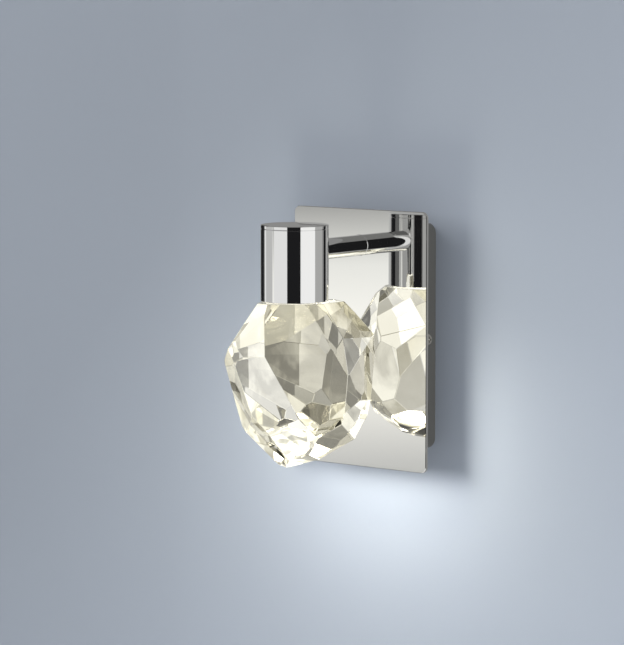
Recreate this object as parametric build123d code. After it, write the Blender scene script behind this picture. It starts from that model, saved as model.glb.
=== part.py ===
"""Crystal wall sconce: a mirror plate on a shallow wall box, a straight arm, a round
lamp head and a large faceted crystal that hangs under the head.

Frame: millimetres, +Z up, +X to the right of someone facing the lamp.  The wall is the
plane y = 0 and the lamp stands out towards -Y.  The origin is the middle of the wall
box's back, on the wall.
"""
import math
import os

from build123d import *

# ---- driving dimensions: mirror plate and wall box -------------------------------------
PLATE_WIDTH = 80.0
PLATE_HEIGHT = 125.0
PLATE_THICKNESS = 1.5
PLATE_CORNER = 3.0
BOX_DEPTH = 17.0
BOX_SIDE_INSET = 8.0
BOX_TOP_INSET = 6.5
BOX_BOTTOM_INSET = 9.5
BOX_WALL = 1.2
BOX_CORNER = 5.0

# ---- driving dimensions: arm and head --------------------------------------------------
ARM_DROP = 17.5
ARM_RADIUS = 5.0
ARM_WALL = 1.0
HEAD_REACH = 50.0
HEAD_RADIUS = 16.0
HEAD_HEIGHT = 36.0
HEAD_RISE = 13.0
SLEEVE_WALL = 2.4
SHOULDER_WIDTH = 1.0
CAP_THICKNESS = 1.8
CAP_SPIGOT = 3.0
SEAM_BEVEL = 0.25

# ---- driving dimensions: the draw rod that clamps the arm ------------------------------
ROD_RADIUS = 3.0
ROD_BORE_RADIUS = 2.0
ROD_NUT_FLATS = 10.0
ROD_NUT_HEIGHT = 4.0
HEAD_NUT_HEIGHT = 2.5
LOCK_WASHER = 1.0
ROD_PROUD = 1.0
SADDLE_RADIUS = 5.5
SADDLE_THICKNESS = 1.2
BUSH_LENGTH = 4.0

# ---- driving dimensions: light engine --------------------------------------------------
SINK_BASE = 3.0
SINK_FIN_HEIGHT = 6.5
SINK_FIN_THICKNESS = 1.2
SINK_FIN_PITCH = 3.2
SINK_FINS_PER_SIDE = 4
SINK_LEAD_GAP = 4.0
THERMAL_PAD = 0.3
BOARD_THICKNESS = 1.6
EMITTER_SIZE = 9.0
EMITTER_HEIGHT = 0.7
DIFFUSER_THICKNESS = 2.0
COLLAR_WALL = 2.6
COLLAR_LEDGE = 1.4
COLLAR_LEDGE_HEIGHT = 1.5
BOND = 0.3

# ---- driving dimensions: wall bracket --------------------------------------------------
BRACKET_WIDTH = 52.0
BRACKET_HEIGHT = 86.0
BRACKET_THICKNESS = 1.5
BRACKET_CORNER = 4.0
EAR_HEIGHT = 18.0
EAR_LENGTH = 12.0
SLOT_SPACING = 60.0
SLOT_LENGTH = 12.0
SLOT_WIDTH = 5.0
ENTRY_RADIUS = 6.0
ENTRY_RISE = 12.0
GROMMET_BORE = 4.0
GROMMET_LIP = 1.6

# ---- driving dimensions: fasteners -----------------------------------------------------
SIDE_SCREW_RADIUS = 1.5
SIDE_SCREW_LENGTH = 6.0
SIDE_SCREW_HEAD = 2.8
SIDE_SCREW_DROP = 1.0
SIDE_SCREW_FROM_WALL = 7.5
SIDE_SCREW_HOLE = 1.7
STUD_RADIUS = 1.5
STUD_LENGTH = 6.0
STUD_NUT_FLATS = 5.5
STUD_NUT_HEIGHT = 2.4
STUD_WASHER = 0.5
STUD_EDGE = 8.0
SMALL_SCREW_RADIUS = 1.0
SMALL_SCREW_HEAD = 1.9
SMALL_HEAD_HEIGHT = 1.3

# ---- driving dimensions: driver, terminals and leads -----------------------------------
DRIVER_WIDTH = 20.0
DRIVER_LENGTH = 35.0
DRIVER_DEPTH = 9.5
DRIVER_WALL = 1.2
DRIVER_LID = 1.2
DRIVER_SIDE_GAP = 5.3
GEAR_RISE = 5.5
TAPE_THICKNESS = 0.8
TERMINAL_POLES = 3
TERMINAL_PITCH = 6.6
TERMINAL_HEIGHT = 16.0
TERMINAL_DEPTH = 9.0
TERMINAL_SIDE_GAP = 2.2
TERMINAL_RISE = 22.0
TERMINAL_SCREW_RISE = 4.7
EARTH_RISE = 3.0
EARTH_TAG = 0.8
LED_LEAD = 1.3
MAINS_LEAD = 1.8
LEAD_SPACING = 1.5
LEAD_SIDES = 8
LEAD_LIFT = 12.0
LEAD_ARCH = 8.0
BOX_BEND = 12.0
ROD_BEND = 3.2
HEAD_BEND = 2.5
EARTH_BEND = 1.5
EARTH_JOG = 2.0
LIVE_DROP = 4.0
NEUTRAL_DROP = 6.5

# ---- fits ------------------------------------------------------------------------------
SLIDE_FIT = 0.1
THREAD_FIT = 0.05
WALL_GAP = 0.3

# ---- the crystal's cut: (turn, lean, distance) of each facet ---------------------------
# turn is the way the facet looks, in degrees from straight out of the wall (-Y) towards
# +X; lean tips it up (+) or down (-); distance counts in cutting depths from the crystal's
# core, which lies CORE_DEPTH below the flat table that meets the head.
CUTTING_DEPTH = 1.0
CORE_DEPTH = 37.7
BLANK_SIZE = 140.0
CROWN_FACETS = {
    "great front": (38.0, 17.0, 23.8),
    "front right slope": (54.0, 24.5, 28.7),
    "right shoulder": (89.5, 33.0, 35.2),
    "right shoulder break": (94.0, 27.0, 34.7),
    "right kite": (93.5, 20.0, 33.6),
    "left shoulder": (-4.0, 22.5, 31.5),
    "left pane": (1.0, 13.0, 27.2),
    "left sliver": (-4.5, 6.5, 27.2),
    "far left shoulder": (-63.0, 33.5, 33.5),
    "far left corner": (-100.0, 36.0, 36.0),
    "rear right shoulder": (155.5, 42.0, 41.0),
    "rear shoulder": (180.0, 26.0, 35.0),
    "rear left shoulder": (218.0, 21.0, 32.5),
    "rear high pane": (190.0, 38.0, 36.9),
    "rear crown left": (234.0, 52.0, 40.5),
    "rear pane": (176.0, 13.0, 34.0),
    "rear left pane": (242.0, 12.0, 36.7),
    "rear left break": (211.0, 12.0, 31.2),
    "far left pane": (-88.0, 22.0, 35.8),
}
GIRDLE_FACETS = {
    "front left side": (2.0, -5.0, 23.5),
    "left edge": (-34.5, -16.0, 26.2),
    "right side": (100.0, 9.0, 33.5),
    "right gore": (94.0, 6.0, 34.0),
    "right low side": (98.5, -7.0, 35.6),
    "rear right side": (148.0, -15.0, 32.0),
    "rear side": (182.0, -4.0, 31.0),
    "rear left side": (212.0, 0.0, 29.5),
    "rear left low side": (228.0, -26.0, 31.5),
    "far left side": (-75.5, -11.0, 31.8),
    "rear kite": (201.0, 9.0, 31.8),
    "rear gore": (197.0, -18.0, 32.7),
    "rear left gore": (238.0, -9.0, 34.7),
    "rear middle gore": (218.0, -13.0, 30.9),
    "rear right pane": (164.0, -2.0, 33.0),
    "far left gore": (-76.0, 12.0, 34.4),
}
POINT_FACETS = {
    "left keel": (-24.0, -32.0, 28.2),
    "front keel": (6.5, -15.5, 26.7),
    "front heel": (42.0, -63.5, 40.0),
    "right keel": (74.5, -38.5, 39.4),
    "rear right keel": (122.0, -28.0, 38.0),
    "rear heel": (150.0, -61.5, 31.7),
    "rear left keel": (214.0, -52.0, 32.5),
    "far left keel": (-72.5, -53.5, 35.0),
    "rear low break": (172.0, -34.0, 34.0),
    "rear point break": (186.0, -68.0, 34.2),
    "far left low pane": (-98.0, -34.0, 35.5),
    "rear low pane": (201.0, -41.0, 33.0),
    "rear heel break": (166.0, -72.0, 34.7),
    "rear left heel": (238.0, -46.0, 34.3),
}

# ---- places that follow from the sizes -------------------------------------------------
BOX_WIDTH = PLATE_WIDTH - 2 * BOX_SIDE_INSET
BOX_HEIGHT = PLATE_HEIGHT - BOX_TOP_INSET - BOX_BOTTOM_INSET
BOX_INNER_X = BOX_WIDTH / 2 - BOX_WALL
BOX_INNER_Z = BOX_HEIGHT / 2 - BOX_WALL
BOX_FLOOR = -BOX_DEPTH + BOX_WALL
PLATE_REAR = -BOX_DEPTH
PLATE_FRONT = PLATE_REAR - PLATE_THICKNESS
PLATE_TOP = BOX_HEIGHT / 2 + BOX_TOP_INSET
PLATE_Z = PLATE_TOP - PLATE_HEIGHT / 2

ARM_Z = PLATE_TOP - ARM_DROP
HEAD_Y = PLATE_FRONT - HEAD_REACH
HEAD_TOP = ARM_Z + HEAD_RISE
HEAD_BOTTOM = HEAD_TOP - HEAD_HEIGHT
SLEEVE_TOP = HEAD_TOP - CAP_THICKNESS
SLEEVE_BORE = HEAD_RADIUS - SLEEVE_WALL
UPPER_BORE = SLEEVE_BORE - SHOULDER_WIDTH

TABLE_Z = HEAD_BOTTOM - BOND
COLLAR_RADIUS = SLEEVE_BORE - SLIDE_FIT
COLLAR_BORE = COLLAR_RADIUS - COLLAR_WALL
BOARD_SCREW_X = COLLAR_BORE - SMALL_SCREW_HEAD - WALL_GAP
LEDGE_BORE = COLLAR_BORE - COLLAR_LEDGE
LEDGE_TOP = HEAD_BOTTOM + COLLAR_LEDGE_HEIGHT
DIFFUSER_TOP = LEDGE_TOP + DIFFUSER_THICKNESS
BOARD_LOW = DIFFUSER_TOP + EMITTER_HEIGHT + WALL_GAP
BOARD_TOP = BOARD_LOW + BOARD_THICKNESS
SINK_LOW = BOARD_TOP + THERMAL_PAD
SHOULDER_Z = SINK_LOW + SINK_BASE

ROD_REAR = BOX_FLOOR + LOCK_WASHER + ROD_NUT_HEIGHT + ROD_PROUD
SADDLE_FLAT = HEAD_Y + math.sqrt((UPPER_BORE - SLIDE_FIT) ** 2 - SADDLE_RADIUS ** 2) - SADDLE_THICKNESS
ROD_FRONT = SADDLE_FLAT - HEAD_NUT_HEIGHT - ROD_PROUD
LEAD_DROP_Y = ROD_FRONT - 2.5 * LED_LEAD

SIDE_SCREW_Z = -SIDE_SCREW_DROP
EAR_OUTER = BOX_INNER_X - WALL_GAP
STUD_X = BOX_WIDTH / 2 - STUD_EDGE
STUD_Z = BOX_HEIGHT / 2 - STUD_EDGE

GEAR_LOW = GEAR_RISE - STUD_Z
DRIVER_X = BOX_INNER_X - DRIVER_SIDE_GAP - DRIVER_WIDTH / 2
DRIVER_FRONT = BOX_FLOOR + TAPE_THICKNESS
DRIVER_REAR = DRIVER_FRONT + DRIVER_DEPTH
DRIVER_LOW = GEAR_LOW
DRIVER_TOP = DRIVER_LOW + DRIVER_LENGTH
DRIVER_LEAD_Y = (DRIVER_FRONT + DRIVER_REAR) / 2
TERMINAL_X = TERMINAL_SIDE_GAP + TERMINAL_POLES * TERMINAL_PITCH / 2 - BOX_INNER_X
TERMINAL_Z = GEAR_LOW + TERMINAL_RISE
TERMINAL_TOP = TERMINAL_Z + TERMINAL_HEIGHT / 2
TERMINAL_LOW = TERMINAL_Z - TERMINAL_HEIGHT / 2
TERMINAL_REAR = BOX_FLOOR + TERMINAL_DEPTH
TERMINAL_LEAD_Y = (BOX_FLOOR + TERMINAL_REAR) / 2
FIXING_X = TERMINAL_X + TERMINAL_PITCH / 2
EARTH_X = TERMINAL_X - TERMINAL_PITCH
EARTH_Z = GEAR_LOW + EARTH_RISE


# ---- shared shapes ---------------------------------------------------------------------
def bar_y(radius, start, end, x=0.0, z=0.0):
    """A round bar along Y between two places."""
    return Pos(x, (start + end) / 2, z) * Rot(90, 0, 0) * Cylinder(radius, abs(end - start))


def ring_y(outer, inner, start, end, x=0.0, z=0.0):
    """A ring or tube along Y between two places."""
    return bar_y(outer, start, end, x, z) - bar_y(inner, start, end, x, z)


def post(radius, low, high, x=0.0, y=0.0):
    """A round post along Z between two heights."""
    return Pos(x, y, (low + high) / 2) * Cylinder(radius, high - low)


def tube(outer, inner, low, high, x=0.0, y=0.0):
    """A ring or tube along Z between two heights."""
    return post(outer, low, high, x, y) - post(inner, low, high, x, y)


def block(x_low, x_high, y_low, y_high, z_low, z_high):
    """A plain block between two corners."""
    middle = Pos((x_low + x_high) / 2, (y_low + y_high) / 2, (z_low + z_high) / 2)
    return middle * Box(x_high - x_low, y_high - y_low, z_high - z_low)


def panel(sketch, rear, front, x=0.0, z=0.0):
    """A flat sheet parallel to the wall, from its rear face to its front face."""
    return Pos(x, rear, z) * extrude(Plane.XZ * sketch, rear - front)


def hex_nut(flats, bore, start, end, x=0.0, z=0.0):
    """A plain hexagon nut on a thread along Y."""
    corner_radius = flats / 2 / math.cos(math.radians(30))
    blank = panel(RegularPolygon(corner_radius, 6), max(start, end), min(start, end), x, z)
    return blank - bar_y(bore, start, end, x, z)


def cross_recess(width, depth):
    """The cross cut in a screw head that looks along +Z, with its mouth at z = 0."""
    arm = Box(width, width / 4, 2 * depth)
    return arm + Rot(0, 0, 90) * arm


def pan_screw(radius, length, head_radius, head_height):
    """A pan head screw: its shank runs down from z = 0 and its bevelled head stands above."""
    head = Cylinder(head_radius, head_height, align=(Align.CENTER, Align.CENTER, Align.MIN))
    head = chamfer(head.edges().sort_by(Axis.Z)[-1], head_height * 0.4)
    head -= Pos(0, 0, head_height) * cross_recess(head_radius * 1.1, head_height * 0.55)
    return head + Cylinder(radius, length, align=(Align.CENTER, Align.CENTER, Align.MAX))


def lead(points, radii, diameter, name):
    """An insulated lead: straight runs joined by arcs, swept with an eight-sided section."""
    path = FilletPolyline(*points, radius=radii)
    start = Plane(path @ 0, z_dir=path % 0)
    section = RegularPolygon(diameter / 2, LEAD_SIDES)
    solid = sweep(start * section, path)
    expected = section.area * path.length
    print(f"{name}: length {path.length:.1f}, radii {radii}, volume ratio {solid.volume / expected:.4f}")
    return solid


# ---- wall bracket ----------------------------------------------------------------------
def wall_bracket():
    """Pressed steel strap on the wall, with an ear turned out at each side for a screw."""
    strap = panel(RectangleRounded(BRACKET_WIDTH, BRACKET_HEIGHT, BRACKET_CORNER), 0, -BRACKET_THICKNESS)
    low, high = SIDE_SCREW_Z - EAR_HEIGHT / 2, SIDE_SCREW_Z + EAR_HEIGHT / 2
    tab = block(-EAR_OUTER, EAR_OUTER, -BRACKET_THICKNESS, 0, low, high)
    right_ear = block(EAR_OUTER - BRACKET_THICKNESS, EAR_OUTER, -EAR_LENGTH, 0, low, high)
    left_ear = mirror(right_ear, about=Plane.YZ)
    folded = tab + right_ear + left_ear
    bends = folded.edges().filter_by(Axis.Z).filter_by_position(Axis.Y, -0.01, 0.01)
    folded = fillet(bends, BRACKET_THICKNESS)
    bracket = strap + folded
    for side in (-1, 1):
        slot = SlotOverall(SLOT_LENGTH, SLOT_WIDTH, rotation=90)
        bracket -= panel(slot, 1, -BRACKET_THICKNESS - 1, 0, side * SLOT_SPACING / 2)
        hole = Rot(0, 90, 0) * Cylinder(SIDE_SCREW_RADIUS + THREAD_FIT, 4 * BRACKET_THICKNESS)
        bracket -= Pos(side * EAR_OUTER, -SIDE_SCREW_FROM_WALL, SIDE_SCREW_Z) * hole
    return bracket - bar_y(ENTRY_RADIUS, 1, -BRACKET_THICKNESS - 1, 0, ENTRY_RISE)


def cable_grommet():
    """Rubber bush that lines the bracket's cable hole, with a lip on the lamp side."""
    neck = bar_y(ENTRY_RADIUS - THREAD_FIT, 0, -BRACKET_THICKNESS, 0, ENTRY_RISE)
    lip_end = -BRACKET_THICKNESS - GROMMET_LIP
    lip = bar_y(ENTRY_RADIUS + GROMMET_LIP, -BRACKET_THICKNESS, lip_end, 0, ENTRY_RISE)
    lip = chamfer(lip.edges().sort_by(Axis.Y)[0], GROMMET_LIP / 2)
    return neck + lip - bar_y(GROMMET_BORE, 0, lip_end, 0, ENTRY_RISE)


# ---- wall box and its plate ------------------------------------------------------------
def rod_hole(start, end):
    """The clearance hole for the draw rod, between two places along Y."""
    return bar_y(ROD_RADIUS + SLIDE_FIT, start, end, 0, ARM_Z)


def stud_places():
    """Where the plate's welded studs stand: four corners, as (x, z)."""
    return [(sx * STUD_X, sz * STUD_Z) for sx in (-1, 1) for sz in (-1, 1)]


def wall_box():
    """Folded steel box, open to the wall: its front carries the plate and the gear."""
    outer = panel(RectangleRounded(BOX_WIDTH, BOX_HEIGHT, BOX_CORNER), 0, -BOX_DEPTH)
    inner_sketch = RectangleRounded(2 * BOX_INNER_X, 2 * BOX_INNER_Z, BOX_CORNER - BOX_WALL)
    box = outer - panel(inner_sketch, 1, BOX_FLOOR)
    box -= rod_hole(BOX_FLOOR + 1, PLATE_REAR - 1)
    for x, z in stud_places():
        box -= bar_y(STUD_RADIUS + SLIDE_FIT, BOX_FLOOR + 1, PLATE_REAR - 1, x, z)
    side_holes = Rot(0, 90, 0) * Cylinder(SIDE_SCREW_HOLE, BOX_WIDTH + BOX_WALL)
    box -= Pos(0, -SIDE_SCREW_FROM_WALL, SIDE_SCREW_Z) * side_holes
    box -= bar_y(SMALL_SCREW_RADIUS + THREAD_FIT, BOX_FLOOR + 1, PLATE_REAR, EARTH_X, EARTH_Z)
    box -= bar_y(SMALL_SCREW_RADIUS + THREAD_FIT, BOX_FLOOR + 1, PLATE_REAR, FIXING_X, TERMINAL_Z)
    return box


def side_screws():
    """One screw through each side of the box into the bracket's ear."""
    screw = pan_screw(SIDE_SCREW_RADIUS, SIDE_SCREW_LENGTH, SIDE_SCREW_HEAD, SIDE_SCREW_HEAD * 0.7)
    right = Pos(BOX_WIDTH / 2, -SIDE_SCREW_FROM_WALL, SIDE_SCREW_Z) * Rot(0, 90, 0) * screw
    return Compound(children=[right, mirror(right, about=Plane.YZ)])


def mirror_plate():
    """Polished stainless plate: rounded corners and a drilled hole for the rod."""
    outline = RectangleRounded(PLATE_WIDTH, PLATE_HEIGHT, PLATE_CORNER)
    plate = panel(outline, PLATE_REAR, PLATE_FRONT, 0, PLATE_Z)
    plate = chamfer(plate.faces().sort_by(Axis.Y)[0].edges(), SEAM_BEVEL)
    return plate - rod_hole(PLATE_REAR + 1, PLATE_FRONT - 1)


def plate_studs():
    """Short threaded studs welded to the back of the plate."""
    studs = [bar_y(STUD_RADIUS, PLATE_REAR, PLATE_REAR + STUD_LENGTH, x, z) for x, z in stud_places()]
    return Compound(children=studs)


def stud_washers():
    """A flat washer under each stud nut."""
    inner, outer = STUD_RADIUS + SLIDE_FIT, STUD_NUT_FLATS / 2 + SLIDE_FIT
    top = BOX_FLOOR + STUD_WASHER
    return Compound(children=[ring_y(outer, inner, BOX_FLOOR, top, x, z) for x, z in stud_places()])


def stud_nuts():
    """The nut on each stud that clamps the plate to the box."""
    low = BOX_FLOOR + STUD_WASHER
    nuts = [
        hex_nut(STUD_NUT_FLATS, STUD_RADIUS + THREAD_FIT, low, low + STUD_NUT_HEIGHT, x, z)
        for x, z in stud_places()
    ]
    return Compound(children=nuts)


# ---- arm and the rod inside it ---------------------------------------------------------
def arm_tube():
    """Polished tube: square on the plate, hollowed at the far end to sit on the head."""
    arm = ring_y(ARM_RADIUS, ARM_RADIUS - ARM_WALL, PLATE_FRONT, HEAD_Y, 0, ARM_Z)
    return arm - post(HEAD_RADIUS + SLIDE_FIT, HEAD_BOTTOM, HEAD_TOP, 0, HEAD_Y)


def draw_rod():
    """Hollow threaded rod, from inside the box to inside the head: the leads run in it."""
    rod = ring_y(ROD_RADIUS, ROD_BORE_RADIUS, ROD_REAR, ROD_FRONT, 0, ARM_Z)
    ends = rod.edges().filter_by(GeomType.CIRCLE)
    rims = [edge for edge in ends if abs(edge.radius - ROD_RADIUS) < THREAD_FIT]
    return chamfer(rims, SEAM_BEVEL)


def rod_bushes():
    """Nylon rings that centre the rod, one at each end of the arm."""
    outer, inner = ARM_RADIUS - ARM_WALL - THREAD_FIT, ROD_RADIUS + THREAD_FIT
    near = ring_y(outer, inner, PLATE_FRONT, PLATE_FRONT - BUSH_LENGTH, 0, ARM_Z)
    far_end = HEAD_Y + HEAD_RADIUS + WALL_GAP
    far = ring_y(outer, inner, far_end + BUSH_LENGTH, far_end, 0, ARM_Z)
    return Compound(children=[near, far])


def rod_lock_washer():
    """Split spring washer under the rod's nut, inside the box."""
    washer = ring_y(ROD_NUT_FLATS / 2, ROD_RADIUS + SLIDE_FIT, BOX_FLOOR, BOX_FLOOR + LOCK_WASHER, 0, ARM_Z)
    gap = block(-LOCK_WASHER / 2, LOCK_WASHER / 2, BOX_FLOOR, 0, ARM_Z, ARM_Z + ROD_NUT_FLATS)
    return washer - gap


def rod_nut():
    """The nut inside the box that pulls the head, the arm and the plate together."""
    low = BOX_FLOOR + LOCK_WASHER
    return hex_nut(ROD_NUT_FLATS, ROD_RADIUS + THREAD_FIT, low, low + ROD_NUT_HEIGHT, 0, ARM_Z)


def saddle_washer():
    """Washer inside the head: round on its back to fit the bore, flat for the nut."""
    blank = ring_y(SADDLE_RADIUS, ROD_RADIUS + SLIDE_FIT, SADDLE_FLAT, HEAD_Y + HEAD_RADIUS, 0, ARM_Z)
    return blank & post(UPPER_BORE - SLIDE_FIT, HEAD_BOTTOM, HEAD_TOP, 0, HEAD_Y)


def head_nut():
    """The thin nut that holds the head on the rod."""
    high = SADDLE_FLAT - HEAD_NUT_HEIGHT
    return hex_nut(ROD_NUT_FLATS, ROD_RADIUS + THREAD_FIT, SADDLE_FLAT, high, 0, ARM_Z)


# ---- lamp head -------------------------------------------------------------------------
def head_sleeve():
    """Turned and plated sleeve: a shoulder in its bore stops the heat sink."""
    sleeve = post(HEAD_RADIUS, HEAD_BOTTOM, SLEEVE_TOP, 0, HEAD_Y)
    sleeve = chamfer(sleeve.edges().filter_by(GeomType.CIRCLE), SEAM_BEVEL)
    sleeve -= post(SLEEVE_BORE, HEAD_BOTTOM, SHOULDER_Z, 0, HEAD_Y)
    sleeve -= post(UPPER_BORE, SHOULDER_Z, SLEEVE_TOP, 0, HEAD_Y)
    return sleeve - rod_hole(HEAD_Y, HEAD_Y + HEAD_RADIUS)


def head_cap():
    """Round lid, with a hollow spigot that fits the sleeve's upper bore."""
    disc = post(HEAD_RADIUS, SLEEVE_TOP, HEAD_TOP, 0, HEAD_Y)
    disc = chamfer(disc.edges().filter_by(GeomType.CIRCLE), SEAM_BEVEL)
    spigot_radius = UPPER_BORE - SLIDE_FIT
    spigot = tube(spigot_radius, spigot_radius - SLEEVE_WALL, SLEEVE_TOP - CAP_SPIGOT, SLEEVE_TOP, 0, HEAD_Y)
    return disc + spigot


def lead_hole(low, high):
    """The hole that both lamp leads go down through."""
    return post(SINK_LEAD_GAP / 2, low, high, 0, LEAD_DROP_Y)


def heat_sink():
    """Aluminium disc with straight fins, open in the middle for the leads."""
    base = post(SLEEVE_BORE - SLIDE_FIT, SINK_LOW, SHOULDER_Z, 0, HEAD_Y)
    fin_top = SHOULDER_Z + SINK_FIN_HEIGHT
    fins = None
    first = SINK_LEAD_GAP / 2 + SINK_FIN_THICKNESS / 2
    for side in (-1, 1):
        for number in range(SINK_FINS_PER_SIDE):
            x = side * (first + number * SINK_FIN_PITCH)
            half = SINK_FIN_THICKNESS / 2
            fin = block(x - half, x + half, HEAD_Y - HEAD_RADIUS, HEAD_Y + HEAD_RADIUS, SHOULDER_Z, fin_top)
            fins = fin if fins is None else fins + fin
    fins &= post(UPPER_BORE - WALL_GAP, SHOULDER_Z, fin_top, 0, HEAD_Y)
    return base + fins - lead_hole(SINK_LOW, SHOULDER_Z)


def thermal_pad():
    """Soft heat-conducting sheet between the board and the sink."""
    pad = post(COLLAR_RADIUS, BOARD_TOP, SINK_LOW, 0, HEAD_Y) - lead_hole(BOARD_TOP, SINK_LOW)
    for x in (-BOARD_SCREW_X, BOARD_SCREW_X):
        pad -= post(SMALL_SCREW_RADIUS + SLIDE_FIT, BOARD_TOP, SINK_LOW, x, HEAD_Y)
    return pad


def led_board():
    """Round aluminium-core board that the light emitter is soldered to."""
    board = post(COLLAR_RADIUS, BOARD_LOW, BOARD_TOP, 0, HEAD_Y)
    for x in (-BOARD_SCREW_X, BOARD_SCREW_X):
        board -= post(SMALL_SCREW_RADIUS + SLIDE_FIT, BOARD_LOW, BOARD_TOP, x, HEAD_Y)
    return board


def led_emitter():
    """Square emitter under the board: a ceramic tile with a round raised window."""
    half = EMITTER_SIZE / 2
    middle = BOARD_LOW - EMITTER_HEIGHT / 2
    tile = block(-half, half, HEAD_Y - half, HEAD_Y + half, middle, BOARD_LOW)
    return tile + post(half * 0.8, BOARD_LOW - EMITTER_HEIGHT, middle, 0, HEAD_Y)


def board_screws():
    """Two small screws, from below, that hold the board to the sink."""
    screws = []
    head_height = EMITTER_HEIGHT + WALL_GAP / 2
    for x in (-BOARD_SCREW_X, BOARD_SCREW_X):
        head = post(SMALL_SCREW_HEAD, BOARD_LOW - head_height, BOARD_LOW, x, HEAD_Y)
        screws.append(head + post(SMALL_SCREW_RADIUS, BOARD_LOW, SINK_LOW, x, HEAD_Y))
    return Compound(children=screws)


def crystal_collar():
    """Threaded ring bonded to the crystal: screwed into the sleeve, it holds it all."""
    collar = tube(COLLAR_RADIUS, COLLAR_BORE, HEAD_BOTTOM, BOARD_LOW, 0, HEAD_Y)
    return collar + tube(COLLAR_BORE, LEDGE_BORE, HEAD_BOTTOM, LEDGE_TOP, 0, HEAD_Y)


def diffuser():
    """Frosted lens on the collar's ledge, under the emitter."""
    lens = post(COLLAR_BORE - SLIDE_FIT, LEDGE_TOP, DIFFUSER_TOP, 0, HEAD_Y)
    return chamfer(lens.edges().sort_by(Axis.Z)[-1], SEAM_BEVEL)


def crystal_bond():
    """Clear adhesive ring between the collar and the crystal's table."""
    return tube(COLLAR_RADIUS, LEDGE_BORE, TABLE_Z, HEAD_BOTTOM, 0, HEAD_Y)


# ---- crystal ---------------------------------------------------------------------------
def facet_plane(turn, lean, distance):
    """The plane of one facet, looking outwards from the crystal's core."""
    flat = math.cos(math.radians(lean))
    look = Vector(
        flat * math.sin(math.radians(turn)),
        -flat * math.cos(math.radians(turn)),
        math.sin(math.radians(lean)),
    )
    core = Vector(0, HEAD_Y, TABLE_Z - CORE_DEPTH)
    return Plane(origin=core + look * distance * CUTTING_DEPTH, z_dir=look)


def crystal():
    """Solid glass, cut facet by facet out of a blank: a flat table, a crown, a girdle
    and a blunt off-centre point."""
    half = BLANK_SIZE / 2
    stone = block(-half, half, HEAD_Y - half, HEAD_Y + half, TABLE_Z - BLANK_SIZE, TABLE_Z)
    for tier in (CROWN_FACETS, GIRDLE_FACETS, POINT_FACETS):
        for turn, lean, distance in tier.values():
            stone = split(stone, bisect_by=facet_plane(turn, lean, distance), keep=Keep.BOTTOM)
    return stone


# ---- driver ----------------------------------------------------------------------------
def driver_span(inset):
    """The driver's outline, drawn in by a wall: x low, x high, z low, z high."""
    half = DRIVER_WIDTH / 2 - inset
    return DRIVER_X - half, DRIVER_X + half, DRIVER_LOW + inset, DRIVER_TOP - inset


def driver_tape():
    """Foam tape that sticks the driver to the inside of the box."""
    x_low, x_high, z_low, z_high = driver_span(DRIVER_WALL)
    return block(x_low, x_high, BOX_FLOOR, DRIVER_FRONT, z_low, z_high)


def driver_lead_holes():
    """The driver case's lead holes: two in the top end and two in the low end."""
    holes = None
    for x in (DRIVER_X - LEAD_SPACING, DRIVER_X + LEAD_SPACING):
        top = post(LED_LEAD / 2 + SLIDE_FIT, DRIVER_TOP - 2 * DRIVER_WALL, DRIVER_TOP, x, DRIVER_LEAD_Y)
        low = post(MAINS_LEAD / 2 + SLIDE_FIT, DRIVER_LOW, DRIVER_LOW + 2 * DRIVER_WALL,
                   DRIVER_X + 2 * (x - DRIVER_X), DRIVER_LEAD_Y)
        holes = top + low if holes is None else holes + top + low
    return holes


def driver_case():
    """Moulded tray of the driver, open towards the wall."""
    x_low, x_high, z_low, z_high = driver_span(0)
    tray = block(x_low, x_high, DRIVER_FRONT, DRIVER_REAR - DRIVER_LID, z_low, z_high)
    tray = fillet(tray.edges().filter_by(Axis.Y), DRIVER_WALL)
    x_low, x_high, z_low, z_high = driver_span(DRIVER_WALL)
    tray -= block(x_low, x_high, DRIVER_FRONT + DRIVER_WALL, DRIVER_REAR, z_low, z_high)
    return tray - driver_lead_holes()


def driver_lid():
    """Snap lid of the driver, with a rim that drops inside the tray."""
    x_low, x_high, z_low, z_high = driver_span(0)
    seat = DRIVER_REAR - DRIVER_LID
    lid = block(x_low, x_high, seat, DRIVER_REAR, z_low, z_high)
    lid = fillet(lid.edges().filter_by(Axis.Y), DRIVER_WALL)
    x_low, x_high, z_low, z_high = driver_span(DRIVER_WALL + SLIDE_FIT)
    rim = block(x_low, x_high, seat - DRIVER_LID, seat, z_low, z_high)
    x_low, x_high, z_low, z_high = driver_span(2 * DRIVER_WALL + SLIDE_FIT)
    return lid + rim - block(x_low, x_high, seat - DRIVER_LID, seat, z_low, z_high)


def driver_board():
    """Circuit board in the tray, with its transformer and a capacitor."""
    x_low, x_high, z_low, z_high = driver_span(DRIVER_WALL + SLIDE_FIT)
    low = DRIVER_FRONT + DRIVER_WALL
    top = low + DRIVER_WALL
    board = block(x_low, x_high, low, top, z_low, z_high)
    height = (DRIVER_DEPTH - 2 * DRIVER_WALL - 2 * DRIVER_LID - SLIDE_FIT) * 0.8
    room = (z_high - z_low) / 3
    third = z_low + room
    transformer = block(x_low + room / 4, x_high - room / 4, top, top + height, third, third + room * 0.8)
    capacitor = bar_y(height * 0.6, top, top + height, DRIVER_X, z_high - room / 2)
    return board + transformer + capacitor


# ---- terminals and earth ---------------------------------------------------------------
def pole_places():
    """The x of each terminal, from the earth side to the live side."""
    first = TERMINAL_X - TERMINAL_PITCH * (TERMINAL_POLES - 1) / 2
    return [first + TERMINAL_PITCH * number for number in range(TERMINAL_POLES)]


def terminal_screw_heights():
    """The two screw rows, above and below the fixing screw."""
    return (TERMINAL_Z - TERMINAL_SCREW_RISE, TERMINAL_Z + TERMINAL_SCREW_RISE)


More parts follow.
